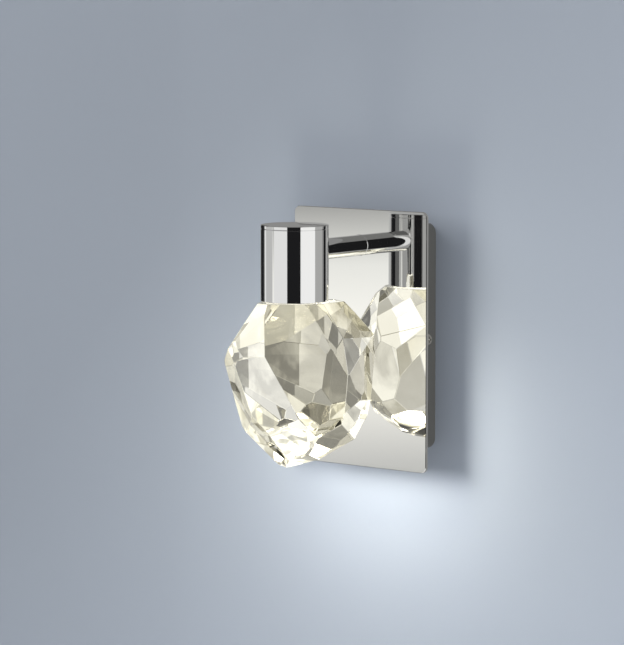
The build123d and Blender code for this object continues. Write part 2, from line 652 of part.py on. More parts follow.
def terminal_block():
    """Moulded screw block that the supply cable is wired to."""
    half = TERMINAL_PITCH * TERMINAL_POLES / 2
    body = block(TERMINAL_X - half, TERMINAL_X + half, BOX_FLOOR, TERMINAL_REAR, TERMINAL_LOW, TERMINAL_TOP)
    for x in pole_places():
        body -= post(MAINS_LEAD / 2 + SLIDE_FIT, TERMINAL_LOW, TERMINAL_TOP, x, TERMINAL_LEAD_Y)
        for z in terminal_screw_heights():
            body -= bar_y(SMALL_SCREW_HEAD, TERMINAL_REAR - SMALL_HEAD_HEIGHT, TERMINAL_REAR, x, z)
    fixing = bar_y(SMALL_SCREW_RADIUS + SLIDE_FIT, BOX_FLOOR, TERMINAL_LEAD_Y, FIXING_X, TERMINAL_Z)
    fixing += bar_y(SMALL_SCREW_HEAD + SLIDE_FIT, TERMINAL_LEAD_Y, TERMINAL_REAR, FIXING_X, TERMINAL_Z)
    return body - fixing


def terminal_screws():
    """The slotted clamp screws of the terminal block."""
    screws = []
    low = TERMINAL_REAR - SMALL_HEAD_HEIGHT
    for x in pole_places():
        for z in terminal_screw_heights():
            screw = bar_y(SMALL_SCREW_HEAD - SLIDE_FIT, low, TERMINAL_REAR, x, z)
            slot = SMALL_SCREW_HEAD / 5
            screw -= block(x - SMALL_SCREW_HEAD, x + SMALL_SCREW_HEAD, low + SMALL_HEAD_HEIGHT / 2,
                           TERMINAL_REAR, z - slot, z + slot)
            screws.append(screw)
    return Compound(children=screws)


def fixing_screw():
    """The screw that holds the terminal block to the box."""
    screw = pan_screw(SMALL_SCREW_RADIUS, TERMINAL_LEAD_Y - BOX_FLOOR + BOX_WALL, SMALL_SCREW_HEAD,
                        SMALL_HEAD_HEIGHT)
    return Pos(FIXING_X, TERMINAL_LEAD_Y, TERMINAL_Z) * Rot(-90, 0, 0) * screw


def earth_tag():
    """Ring tag of the earth lead, flat on the inside of the box."""
    ring = bar_y(SMALL_SCREW_HEAD + EARTH_TAG, BOX_FLOOR, BOX_FLOOR + EARTH_TAG, EARTH_X, EARTH_Z)
    tongue = block(EARTH_X - MAINS_LEAD / 2, EARTH_X + MAINS_LEAD / 2, BOX_FLOOR, BOX_FLOOR + EARTH_TAG,
                   EARTH_Z, EARTH_Z + 3 * MAINS_LEAD)
    hole = bar_y(SMALL_SCREW_RADIUS + SLIDE_FIT, BOX_FLOOR, BOX_FLOOR + EARTH_TAG, EARTH_X, EARTH_Z)
    return ring + tongue - hole


def earth_screw():
    """The screw that clamps the earth tag to the box."""
    screw = pan_screw(SMALL_SCREW_RADIUS, EARTH_TAG + BOX_WALL, SMALL_SCREW_HEAD, SMALL_HEAD_HEIGHT)
    return Pos(EARTH_X, BOX_FLOOR + EARTH_TAG, EARTH_Z) * Rot(-90, 0, 0) * screw


# ---- leads -----------------------------------------------------------------------------
def lamp_lead(side, name):
    """A lamp lead, from the driver up the box, along the rod and down to the board."""
    x = side * LEAD_SPACING / 2
    start_x = DRIVER_X + side * LEAD_SPACING
    turn_y = (ROD_REAR - BRACKET_THICKNESS) / 2
    arch_z = (DRIVER_TOP + ARM_Z) / 2 + LEAD_ARCH
    points = [
        (start_x, DRIVER_LEAD_Y, DRIVER_TOP),
        (start_x, DRIVER_LEAD_Y, DRIVER_TOP + LEAD_LIFT),
        (DRIVER_X / 2 + side * LEAD_SPACING, (DRIVER_LEAD_Y + turn_y) / 2, arch_z),
        (x, turn_y, ARM_Z),
        (x, LEAD_DROP_Y, ARM_Z),
        (x, LEAD_DROP_Y, BOARD_TOP),
    ]
    return lead(points, [BOX_BEND, BOX_BEND, ROD_BEND, HEAD_BEND], LED_LEAD, name)


def mains_lead(pole, side, depth, name):
    """A mains lead, from the driver's low end under to a pole of the terminal block."""
    start_x = DRIVER_X + 2 * side * LEAD_SPACING
    end_x = pole_places()[pole]
    points = [
        (start_x, DRIVER_LEAD_Y, DRIVER_LOW),
        (start_x, DRIVER_LEAD_Y, DRIVER_LOW - depth),
        (end_x, TERMINAL_LEAD_Y, DRIVER_LOW - depth),
        (end_x, TERMINAL_LEAD_Y, TERMINAL_LOW),
    ]
    return lead(points, [depth * 0.8, depth * 0.8], MAINS_LEAD, name)


def earth_lead():
    """The earth lead, from its terminal down to the ring tag."""
    x = pole_places()[0]
    low_y = BOX_FLOOR + EARTH_TAG + MAINS_LEAD / 2
    tag_top = EARTH_Z + 3 * MAINS_LEAD
    middle = (TERMINAL_LOW + tag_top) / 2
    points = [
        (x, TERMINAL_LEAD_Y, TERMINAL_LOW),
        (x, TERMINAL_LEAD_Y, middle + EARTH_JOG / 2),
        (EARTH_X, low_y, middle - EARTH_JOG / 2),
        (EARTH_X, low_y, EARTH_Z + 2 * MAINS_LEAD),
    ]
    return lead(points, [EARTH_BEND, EARTH_BEND], MAINS_LEAD, "lead_earth")


# ---- write one file per piece ----------------------------------------------------------
def pieces():
    """Every piece by the name of its node."""
    return {
        "wall_bracket": wall_bracket(),
        "cable_grommet": cable_grommet(),
        "wall_box": wall_box(),
        "side_screws": side_screws(),
        "mirror_plate": mirror_plate(),
        "plate_studs": plate_studs(),
        "stud_washers": stud_washers(),
        "stud_nuts": stud_nuts(),
        "arm_tube": arm_tube(),
        "draw_rod": draw_rod(),
        "rod_bushes": rod_bushes(),
        "rod_lock_washer": rod_lock_washer(),
        "rod_nut": rod_nut(),
        "saddle_washer": saddle_washer(),
        "head_nut": head_nut(),
        "head_sleeve": head_sleeve(),
        "head_cap": head_cap(),
        "heat_sink": heat_sink(),
        "thermal_pad": thermal_pad(),
        "led_board": led_board(),
        "led_emitter": led_emitter(),
        "board_screws": board_screws(),
        "crystal_collar": crystal_collar(),
        "diffuser": diffuser(),
        "crystal_bond": crystal_bond(),
        "crystal": crystal(),
        "driver_tape": driver_tape(),
        "driver_case": driver_case(),
        "driver_lid": driver_lid(),
        "driver_board": driver_board(),
        "terminal_block": terminal_block(),
        "terminal_screws": terminal_screws(),
        "fixing_screw": fixing_screw(),
        "earth_tag": earth_tag(),
        "earth_screw": earth_screw(),
        "lead_positive": lamp_lead(1, "lead_positive"),
        "lead_negative": lamp_lead(-1, "lead_negative"),
        "lead_live": mains_lead(2, -1, LIVE_DROP, "lead_live"),
        "lead_neutral": mains_lead(1, 1, NEUTRAL_DROP, "lead_neutral"),
        "lead_earth": earth_lead(),
    }


os.makedirs("parts", exist_ok=True)
for name, solid in pieces().items():
    export_step(solid, f"parts/{name}.step")
    print(f"{name}: {solid.volume:.1f} mm3")
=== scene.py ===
import math

import bpy
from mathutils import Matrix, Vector


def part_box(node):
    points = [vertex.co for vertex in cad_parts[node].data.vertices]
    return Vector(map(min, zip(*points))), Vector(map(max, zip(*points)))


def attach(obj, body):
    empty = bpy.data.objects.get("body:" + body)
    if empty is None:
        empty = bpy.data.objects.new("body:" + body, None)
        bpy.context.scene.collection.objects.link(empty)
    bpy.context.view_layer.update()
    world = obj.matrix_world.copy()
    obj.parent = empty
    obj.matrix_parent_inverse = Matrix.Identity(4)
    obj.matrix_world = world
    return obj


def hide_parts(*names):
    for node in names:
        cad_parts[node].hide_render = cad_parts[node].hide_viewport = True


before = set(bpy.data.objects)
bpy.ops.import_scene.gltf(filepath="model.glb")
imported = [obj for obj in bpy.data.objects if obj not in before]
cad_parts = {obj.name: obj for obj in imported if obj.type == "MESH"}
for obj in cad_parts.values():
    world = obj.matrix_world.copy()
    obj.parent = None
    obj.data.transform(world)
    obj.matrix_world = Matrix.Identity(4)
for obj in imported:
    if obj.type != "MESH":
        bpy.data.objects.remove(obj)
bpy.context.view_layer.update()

# ---- mirror plate ----------------------------------------------------------------------
# The upright plate that shows first: 1.5 mm stainless sheet with rounded corners, ground
# and polished to a mirror.  Faint wiping marks break its gloss a little.

RIPPLE_DEPTH = 0.0001


def add_node(tree, kind, inputs=None, **settings):
    """One shader node: sockets take a value, or another node's output as a link."""
    made = tree.nodes.new(kind)
    for name, value in settings.items():
        setattr(made, name, value)
    for name, value in (inputs or {}).items():
        if isinstance(value, bpy.types.NodeSocket):
            tree.links.new(value, made.inputs[name])
        else:
            made.inputs[name].default_value = value
    return made


def new_group(name, inputs, outputs):
    """An empty shader group with float or colour sockets, and its two end nodes."""
    group = bpy.data.node_groups.new(name, "ShaderNodeTree")
    for label, default in inputs.items():
        kind = "NodeSocketColor" if isinstance(default, tuple) else "NodeSocketFloat"
        group.interface.new_socket(label, in_out="INPUT", socket_type=kind).default_value = default
    for label, kind in outputs.items():
        group.interface.new_socket(label, in_out="OUTPUT", socket_type=kind)
    return group, group.nodes.new("NodeGroupInput"), group.nodes.new("NodeGroupOutput")


def wiping_group():
    """Soft smears and fine hairlines for polished metal and glass."""
    group, given, out = new_group(
        "wiping_marks",
        {"Roughness": 0.03, "Smear": 0.02, "Smear Scale": 60.0, "Hairline": 0.01},
        {"Roughness": "NodeSocketFloat", "Height": "NodeSocketFloat"},
    )
    place = add_node(group, "ShaderNodeTexCoord")
    smear = add_node(group, "ShaderNodeTexNoise", {
        "Vector": place.outputs["Object"], "Scale": given.outputs["Smear Scale"], "Detail": 4.0,
        "Roughness": 0.6, "Distortion": 1.2})
    mask = add_node(group, "ShaderNodeMapRange", {
        "Value": smear.outputs["Fac"], "From Min": 0.48, "From Max": 0.72})
    stretch = add_node(group, "ShaderNodeMapping", {
        "Vector": place.outputs["Object"], "Rotation": (0.3, 0.5, 0.9), "Scale": (900.0, 60.0, 900.0)})
    hair = add_node(group, "ShaderNodeTexNoise", {
        "Vector": stretch.outputs["Vector"], "Scale": 1.0, "Detail": 2.0})
    hair_mask = add_node(group, "ShaderNodeMapRange", {
        "Value": hair.outputs["Fac"], "From Min": 0.62, "From Max": 0.75})
    smeared = add_node(group, "ShaderNodeMath", {
        0: mask.outputs["Result"], 1: given.outputs["Smear"], 2: given.outputs["Roughness"]},
        operation="MULTIPLY_ADD")
    total = add_node(group, "ShaderNodeMath", {
        0: hair_mask.outputs["Result"], 1: given.outputs["Hairline"], 2: smeared.outputs["Value"]},
        operation="MULTIPLY_ADD")
    group.links.new(total.outputs["Value"], out.inputs["Roughness"])
    group.links.new(smear.outputs["Fac"], out.inputs["Height"])
    return group


def blank_material(name):
    """A new material with only its output node, ready to be wired."""
    material = bpy.data.materials.new(name)
    material.use_nodes = True
    tree = material.node_tree
    tree.nodes.clear()
    return material, tree, tree.nodes.new("ShaderNodeOutputMaterial")


def add_group(tree, group, inputs=None):
    """Places a node group in a material, with its own values."""
    made = tree.nodes.new("ShaderNodeGroup")
    made.node_tree = group
    for name, value in (inputs or {}).items():
        made.inputs[name].default_value = value
    return made


def polished_metal(name, color, roughness, smear, ripple):
    """Mirror-bright plated or polished metal with wiping marks and a slight ripple."""
    material, tree, out = blank_material(name)
    marks = add_group(tree, wiping, {"Roughness": roughness, "Smear": smear, "Hairline": smear / 2})
    bump = add_node(tree, "ShaderNodeBump", {
        "Height": marks.outputs["Height"], "Strength": ripple, "Distance": RIPPLE_DEPTH})
    metal = add_node(tree, "ShaderNodeBsdfPrincipled", {
        "Base Color": (*color, 1.0), "Metallic": 1.0, "Roughness": marks.outputs["Roughness"],
        "Normal": bump.outputs["Normal"]})
    tree.links.new(metal.outputs["BSDF"], out.inputs["Surface"])
    return material


def dress(node, material):
    """Gives a carried-over CAD node its finish."""
    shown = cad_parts[node]
    shown.data.materials.clear()
    shown.data.materials.append(material)


wiping = wiping_group()
dress("mirror_plate", polished_metal("mirror_steel", (0.90, 0.90, 0.89), 0.012, 0.03, 0.02))

# ---- head and arm ----------------------------------------------------------------------
# A turned sleeve, its round lid and a straight tube, all nickelled and chromed.  The lid's
# seam is a fine groove under the rim.

bright_chrome = polished_metal("bright_chrome", (0.88, 0.88, 0.88), 0.02, 0.02, 0.02)
for part in ("head_sleeve", "head_cap", "arm_tube"):
    dress(part, bright_chrome)

# ---- seat bead -------------------------------------------------------------------------
# The fine rolled edge where the arm's end sits on the plate: a chromed bead all round the
# tube that shows as a thin bright line.

BEAD_REACH = 0.00022
BEAD_SINK = 0.00002
BEAD_STEPS = 96
BEAD_SHARES = ((0.0, 0.0), (1.0, 0.0), (0.92, 0.38), (0.70, 0.70), (0.38, 0.92), (0.0, 1.0))
BEAD_SMOOTH_ANGLE = 40.0
MERGE_DISTANCE = 0.000002


def new_piece(name, mesh):
    """Adds a mesh to the scene as the only selected object, all of it selected in edit mode."""
    piece = bpy.data.objects.new(name, mesh)
    bpy.context.scene.collection.objects.link(piece)
    bpy.ops.object.select_all(action="DESELECT")
    piece.select_set(True)
    bpy.context.view_layer.objects.active = piece
    bpy.ops.object.mode_set(mode="EDIT")
    bpy.ops.mesh.select_all(action="SELECT")
    return piece


arm_low, arm_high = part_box("arm_tube")
arm_radius = (arm_high[0] - arm_low[0]) / 2
arm_height = (arm_low[2] + arm_high[2]) / 2
plate_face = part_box("mirror_plate")[0][1]
bead_corners = len(BEAD_SHARES)
bead_mesh = bpy.data.meshes.new("arm_seat_bead")
bead_mesh.from_pydata(
    [(arm_radius - BEAD_SINK + BEAD_REACH * out, plate_face - BEAD_REACH * lift, arm_height)
     for out, lift in BEAD_SHARES],
    [(corner, (corner + 1) % bead_corners) for corner in range(bead_corners)], [])
bead = new_piece("arm_seat_bead", bead_mesh)
bpy.ops.mesh.spin(steps=BEAD_STEPS, angle=2 * math.pi,
                  center=(0.0, plate_face, arm_height), axis=(0.0, 1.0, 0.0))
bpy.ops.mesh.select_all(action="SELECT")
bpy.ops.mesh.remove_doubles(threshold=MERGE_DISTANCE)
bpy.ops.mesh.normals_make_consistent(inside=False)
bpy.ops.object.mode_set(mode="OBJECT")
bpy.ops.object.shade_smooth_by_angle(angle=math.radians(BEAD_SMOOTH_ANGLE))
bead.data.materials.append(bright_chrome)
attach(bead, "root")

# ---- wall box --------------------------------------------------------------------------
# The shallow box behind the plate: folded sheet with a fine satin powder coat.


def grain_group():
    """The fine pebble of powder coat and moulded plastic, with a little tone variation."""
    group, given, out = new_group(
        "fine_grain",
        {"Color": (0.5, 0.5, 0.5, 1.0), "Grain Scale": 3000.0, "Tone": 0.08, "Roughness": 0.4},
        {"Color": "NodeSocketColor", "Roughness": "NodeSocketFloat", "Height": "NodeSocketFloat"},
    )
    place = add_node(group, "ShaderNodeTexCoord")
    grain = add_node(group, "ShaderNodeTexNoise", {
        "Vector": place.outputs["Object"], "Scale": given.outputs["Grain Scale"], "Detail": 3.0})
    cloud = add_node(group, "ShaderNodeTexNoise", {
        "Vector": place.outputs["Object"], "Scale": 45.0, "Detail": 3.0})
    mixed = add_node(group, "ShaderNodeMath", {
        0: grain.outputs["Fac"], 1: cloud.outputs["Fac"]}, operation="ADD")
    centred = add_node(group, "ShaderNodeMath", {0: mixed.outputs["Value"], 1: 1.0}, operation="SUBTRACT")
    shade = add_node(group, "ShaderNodeMath", {
        0: centred.outputs["Value"], 1: given.outputs["Tone"], 2: 1.0}, operation="MULTIPLY_ADD")
    tone = add_node(group, "ShaderNodeVectorMath", {
        0: given.outputs["Color"], "Scale": shade.outputs["Value"]}, operation="SCALE")
    rough = add_node(group, "ShaderNodeMath", {
        0: centred.outputs["Value"], 1: 0.12, 2: given.outputs["Roughness"]}, operation="MULTIPLY_ADD")
    group.links.new(tone.outputs["Vector"], out.inputs["Color"])
    group.links.new(rough.outputs["Value"], out.inputs["Roughness"])
    group.links.new(grain.outputs["Fac"], out.inputs["Height"])
    return group


def grained(name, color, roughness, scale, depth, tone=0.08, metallic=0.0, coat=0.0):
    """Powder coat, moulded plastic, rubber or cast grain in one colour."""
    material, tree, out = blank_material(name)
    grain_node = add_group(tree, grain_effect, {
        "Color": (*color, 1.0), "Grain Scale": scale, "Tone": tone, "Roughness": roughness})
    bump = add_node(tree, "ShaderNodeBump", {
        "Height": grain_node.outputs["Height"], "Strength": 0.5, "Distance": depth})
    body = add_node(tree, "ShaderNodeBsdfPrincipled", {
        "Base Color": grain_node.outputs["Color"], "Metallic": metallic, "Coat Weight": coat,
        "Roughness": grain_node.outputs["Roughness"], "Normal": bump.outputs["Normal"]})
    tree.links.new(body.outputs["BSDF"], out.inputs["Surface"])
    return material


grain_effect = grain_group()
dress("wall_box", grained("satin_coat", (0.21, 0.21, 0.20), 0.38, 2600.0, 0.00008, metallic=0.5))

# ---- plain working parts ---------------------------------------------------------------
# What the lamp holds inside or behind: plated steel, aluminium, moulded nylon, brass and
# rubber, each in the finish that such parts are bought in.

zinc = grained("bright_zinc", (0.62, 0.64, 0.66), 0.30, 900.0, 0.00003, tone=0.2, metallic=1.0)
nickel = grained("nickel_screw", (0.66, 0.64, 0.60), 0.22, 1500.0, 0.00002, metallic=1.0)
aluminium = grained("turned_aluminium", (0.80, 0.81, 0.82), 0.28, 1800.0, 0.00003, metallic=1.0)
brass = grained("plain_brass", (0.78, 0.60, 0.25), 0.28, 1500.0, 0.00002, metallic=1.0)
black_rubber = grained("black_rubber", (0.035, 0.035, 0.037), 0.62, 1800.0, 0.00006)
grey_foam = grained("grey_foam", (0.32, 0.33, 0.35), 0.85, 1400.0, 0.0002, tone=0.3)
natural_nylon = grained("natural_nylon", (0.82, 0.80, 0.74), 0.40, 2400.0, 0.00003)
white_moulding = grained("white_moulding", (0.78, 0.78, 0.75), 0.42, 2600.0, 0.00004)
solder_mask = grained("green_solder_mask", (0.03, 0.20, 0.08), 0.25, 1200.0, 0.00003, tone=0.3, coat=0.4)
white_mask = grained("white_solder_mask", (0.86, 0.86, 0.84), 0.35, 2000.0, 0.00002)
FINISHES = {
    zinc: ("wall_bracket", "plate_studs", "stud_washers", "draw_rod", "rod_lock_washer",
           "saddle_washer", "head_nut", "crystal_collar"),
    nickel: ("board_screws", "fixing_screw", "earth_screw"),
    aluminium: ("heat_sink",),
    brass: ("terminal_screws", "earth_tag"),
    black_rubber: ("cable_grommet",),
    grey_foam: ("driver_tape", "thermal_pad"),
    natural_nylon: ("rod_bushes",),
    white_moulding: ("driver_case", "driver_lid", "terminal_block"),
    solder_mask: ("driver_board",),
    white_mask: ("led_board",),
}
for finish, parts in FINISHES.items():
    for part in parts:
        dress(part, finish)

# ---- leads -----------------------------------------------------------------------------
# Stranded copper in coloured PVC: brown and blue for the supply, green for earth, red and
# black from the driver to the lamp.  Each eight-sided solid is rounded off.

LEAD_COLORS = {
    "lead_positive": ("red_insulation", (0.55, 0.03, 0.02)),
    "lead_negative": ("black_insulation", (0.02, 0.02, 0.02)),
    "lead_live": ("brown_insulation", (0.16, 0.06, 0.02)),
    "lead_neutral": ("blue_insulation", (0.02, 0.12, 0.50)),
    "lead_earth": ("green_insulation", (0.06, 0.32, 0.06)),
}
LEAD_CORNER_BREAK = 0.00025
LEAD_CORNER_ANGLE = 35.0
FLAT_ANGLE = 0.6
SMOOTH_ANGLE = 32.0
BREAK_SEGMENTS = 2


def own_copy(node, name):
    """A new piece that starts as a merged copy of a CAD node, with its flats made whole."""
    piece = new_piece(name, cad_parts[node].data.copy())
    bpy.ops.mesh.remove_doubles(threshold=MERGE_DISTANCE)
    bpy.ops.mesh.dissolve_limited(angle_limit=math.radians(FLAT_ANGLE))
    bpy.ops.mesh.normals_make_consistent(inside=False)
    bpy.ops.object.mode_set(mode="OBJECT")
    return piece


def break_edges(piece, width, angle):
    """Rounds every edge sharper than an angle, in degrees."""
    bevel = piece.modifiers.new("edge_break", "BEVEL")
    bevel.width = width
    bevel.segments = BREAK_SEGMENTS
    bevel.limit_method = "ANGLE"
    bevel.angle_limit = math.radians(angle)
    bpy.ops.object.modifier_apply(modifier=bevel.name)


def stand_in(piece, node, material):
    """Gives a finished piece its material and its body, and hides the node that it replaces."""
    piece.data.materials.clear()
    piece.data.materials.append(material)
    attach(piece, "root")
    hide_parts(node)


for part, (slot, color) in LEAD_COLORS.items():
    lead = own_copy(part, "round_" + part)
    break_edges(lead, LEAD_CORNER_BREAK, LEAD_CORNER_ANGLE)
    bpy.ops.object.shade_smooth_by_angle(angle=math.radians(SMOOTH_ANGLE))
    stand_in(lead, part, grained(part + "_pvc", color, 0.35, 1200.0, 0.00003, coat=0.3))

# ---- side screws and nuts --------------------------------------------------------------
# Bought nickelled and zinc plated hardware: its edges are rolled or chamfered, never sharp,
# so each one is broken a little.

HARDWARE_BREAK = 0.00012
HARDWARE_ANGLE = 28.0
bright_nickel = polished_metal("bright_nickel", (0.70, 0.69, 0.66), 0.10, 0.08, 0.05)
HARDWARE = {
    "side_screws": (bright_nickel, "screw_steel"),
    "stud_nuts": (zinc, "zinc_steel"),
    "rod_nut": (zinc, "zinc_steel"),
}
for part, (finish, slot) in HARDWARE.items():
    chamfered = own_copy(part, "chamfered_" + part)
    break_edges(chamfered, HARDWARE_BREAK, HARDWARE_ANGLE)
    bpy.ops.object.shade_smooth_by_angle(angle=math.radians(SMOOTH_ANGLE))
    stand_in(chamfered, part, finish)

# ---- light engine ----------------------------------------------------------------------
# A warm white emitter behind a frosted lens.  The lens is what glows as the lamp, and it is
# what the crystal's facets pick up as cream patches.  The bond under the crystal has a painted
# glow: it is no lamp, and its light stands in for the lamp's light reaching it through the glass.

LIGHT_WARM = (1.0, 0.95, 0.83)
PHOSPHOR_YELLOW = (1.0, 0.78, 0.30)


def glowing(name, color, strength, scale):
    """A frosted or phosphor surface that gives light, or a painted glow on a part that is no lamp, a little
    uneven over its area.
    """
    material, tree, out = blank_material(name)
    place = add_node(tree, "ShaderNodeTexCoord")
    cloud = add_node(tree, "ShaderNodeTexNoise", {
        "Vector": place.outputs["Object"], "Scale": scale, "Detail": 2.0})
    level = add_node(tree, "ShaderNodeMapRange", {
        "Value": cloud.outputs["Fac"], "To Min": 0.85, "To Max": 1.15})
    tone = add_node(tree, "ShaderNodeVectorMath", {
        0: color, "Scale": level.outputs["Result"]}, operation="SCALE")
    body = add_node(tree, "ShaderNodeBsdfPrincipled", {
        "Base Color": tone.outputs["Vector"], "Roughness": 0.6, "Emission Color": tone.outputs["Vector"],
        "Emission Strength": strength})
    tree.links.new(body.outputs["BSDF"], out.inputs["Surface"])
    return material


dress("diffuser", glowing("frosted_lens", LIGHT_WARM, 45.0, 400.0))
dress("led_emitter", glowing("phosphor", PHOSPHOR_YELLOW, 4.0, 900.0))
# painted glow: the bond is no lamp; its emission stands in for the lamp's light reaching it through the
# glass
dress("crystal_bond", glowing("painted_glow_adhesive", LIGHT_WARM, 1.1, 300.0))

# ---- crystal ---------------------------------------------------------------------------
# One block of heavy clear glass, cut flat by flat and polished.  The cutter breaks each
# edge slightly, so the edges show as fine bright lines.  Each facet also carries painted
# light and shade: a painted glow for the lamp's light seen in it, and a painted shade that
# darkens some facets.

EDGE_BREAK = 0.00028
EDGE_ANGLE = 12.0
GLASS_INDEX = 1.56
PAINTED_GLOW_SEED = 3.0
PAINTED_SHADE_TURN = 0.83
PAINTED_SHADE_CLOUD = 0.25
FACET_STEP = (0.02, 0.02, 0.02)
# painted glow: emission levels that stand in for the lamp's light seen in each facet
PAINTED_GLOW_TONES = (
    (0.35, (0.0, 0.0, 0.0)), (0.55, (0.008, 0.0075, 0.005)), (0.74, (0.050, 0.046, 0.032)),
    (0.90, (0.44, 0.43, 0.37)))
# painted shade: base colours that darken some facets, standing in for the shade seen in them
PAINTED_SHADE_TONES = (
    (0.05, (0.46, 0.43, 0.33)), (0.30, (0.76, 0.735, 0.64)), (0.50, (1.0, 0.997, 0.98)),
    (1.0, (1.0, 0.997, 0.98)))


def color_ramp(tree, value, tones):
    """A colour ramp through the given places and colours."""
    ramp = add_node(tree, "ShaderNodeValToRGB", {"Fac": value})
    ramp.color_ramp.elements[0].position = tones[0][0]
    ramp.color_ramp.elements[0].color = (*tones[0][1], 1.0)
    ramp.color_ramp.elements[1].position = tones[-1][0]
    ramp.color_ramp.elements[1].color = (*tones[-1][1], 1.0)
    for share, tone in tones[1:-1]:
        ramp.color_ramp.elements.new(share).color = (*tone, 1.0)
    return ramp


def painted_facet_glow_group():
    """Painted light and shade for each facet, by its direction: a glow that stands in for the lamp's light,
    and a tint that darkens some facets as painted shade.
    """
    group, given, out = new_group(
        "painted_facet_glow",
        {"Seed": 0.0, "Cloud Scale": 55.0, "Cloud Amount": 0.45},
        {"Color": "NodeSocketColor", "Tint": "NodeSocketColor"},
    )
    place = add_node(group, "ShaderNodeTexCoord")
    facing = add_node(group, "ShaderNodeNewGeometry")
    snapped = add_node(group, "ShaderNodeVectorMath", {
        0: facing.outputs["True Normal"], 1: FACET_STEP}, operation="SNAP")
    level = add_node(group, "ShaderNodeTexWhiteNoise", {
        "Vector": snapped.outputs["Vector"], "W": given.outputs["Seed"]}, noise_dimensions="4D")
    cloud = add_node(group, "ShaderNodeTexNoise", {
        "Vector": place.outputs["Object"], "Scale": given.outputs["Cloud Scale"], "Detail": 3.0,
        "Distortion": 0.8})
    centred = add_node(group, "ShaderNodeMath", {0: cloud.outputs["Fac"], 1: 0.5}, operation="SUBTRACT")
    mixed = add_node(group, "ShaderNodeMath", {
        0: centred.outputs["Value"], 1: given.outputs["Cloud Amount"], 2: level.outputs["Value"]},
        operation="MULTIPLY_ADD")
    painted_light = color_ramp(group, mixed.outputs["Value"], PAINTED_GLOW_TONES)
    turned = add_node(group, "ShaderNodeMath", {0: given.outputs["Seed"], 1: PAINTED_SHADE_TURN}, operation="ADD")
    painted_shade_pick = add_node(group, "ShaderNodeTexWhiteNoise", {
        "Vector": snapped.outputs["Vector"], "W": turned.outputs["Value"]}, noise_dimensions="4D")
    painted_shade_mixed = add_node(group, "ShaderNodeMath", {
        0: centred.outputs["Value"], 1: PAINTED_SHADE_CLOUD, 2: painted_shade_pick.outputs["Value"]}, operation="MULTIPLY_ADD")
    painted_shade = color_ramp(group, painted_shade_mixed.outputs["Value"], PAINTED_SHADE_TONES)
    group.links.new(painted_light.outputs["Color"], out.inputs["Color"])
    group.links.new(painted_shade.outputs["Color"], out.inputs["Tint"])
    return group


def glass_material():
    """Clear heavy glass, faintly warm through its depth, with painted light and shade on its facets."""
    material, tree, out = blank_material("clear_crystal")
    marks = add_group(tree, wiping, {
        "Roughness": 0.0, "Smear": 0.012, "Smear Scale": 90.0, "Hairline": 0.006})
    # painted glow: the facets' emission stands in for the lamp's light seen in them
    painted_light = add_group(tree, painted_facet_glow_group(), {"Seed": PAINTED_GLOW_SEED})
    # painted shade: the Base Color tint darkens some facets
    glass = add_node(tree, "ShaderNodeBsdfPrincipled", {
        "Base Color": painted_light.outputs["Tint"], "Roughness": marks.outputs["Roughness"], "IOR": GLASS_INDEX,
        "Transmission Weight": 1.0, "Emission Color": painted_light.outputs["Color"], "Emission Strength": 1.0})
    clear = add_node(tree, "ShaderNodeBsdfTransparent", {"Color": (0.93, 0.93, 0.90, 1.0)})
    path = add_node(tree, "ShaderNodeLightPath")
    through = add_node(tree, "ShaderNodeMath", {
        0: path.outputs["Is Shadow Ray"], 1: path.outputs["Is Diffuse Ray"]}, operation="MAXIMUM")
    mix = add_node(tree, "ShaderNodeMixShader", {
        0: through.outputs["Value"], 1: glass.outputs["BSDF"], 2: clear.outputs["BSDF"]})
    depth = add_node(tree, "ShaderNodeVolumeAbsorption", {"Color": (0.90, 0.88, 0.79, 1.0), "Density": 8.0})
    tree.links.new(mix.outputs["Shader"], out.inputs["Surface"])
    tree.links.new(depth.outputs["Volume"], out.inputs["Volume"])
    return material


cut_crystal = own_copy("crystal", "cut_crystal")
break_edges(cut_crystal, EDGE_BREAK, EDGE_ANGLE)
stand_in(cut_crystal, "crystal", glass_material())

# ---- studio: wall and floor ------------------------------------------------------------
# A pale blue-grey wall that the lamp hangs on, and a pale floor well below it.  The wall's
# paint grows lighter towards the right and downwards: painted light and shade.  From behind
# the wall is clear, so that the lamp's back can be seen.

SKY_TONE = (0.82, 0.82, 0.81)
SECOND_SIGHT = 0.5
PAINT_LEVEL = 0.95
PAINT_CLOUD = 0.1
# limits of the wall's painted light and shade slope
PAINTED_SHADE_LIMIT = -0.16
PAINTED_LIGHT_LIMIT = 0.32
WALL_SIZE = 5.0
WALL_GAP = 0.0002
FLOOR_SIZE = 10.0
FLOOR_DROP = 0.45


def room_level(tree, path):
    """How bright the room looks in metal: full at first sight, less in metal seen in metal."""
    twice = add_node(tree, "ShaderNodeMath", {
        0: path.outputs["Glossy Depth"], 1: 1.5}, operation="GREATER_THAN")
    past_no_glass = add_node(tree, "ShaderNodeMath", {
        0: path.outputs["Transmission Depth"], 1: 0.5}, operation="LESS_THAN")
    both = add_node(tree, "ShaderNodeMath", {
        0: twice.outputs["Value"], 1: past_no_glass.outputs["Value"]}, operation="MULTIPLY")
    level = add_node(tree, "ShaderNodeMath", {
        0: both.outputs["Value"], 1: SECOND_SIGHT - 1.0, 2: 1.0}, operation="MULTIPLY_ADD")
    return level.outputs["Value"]


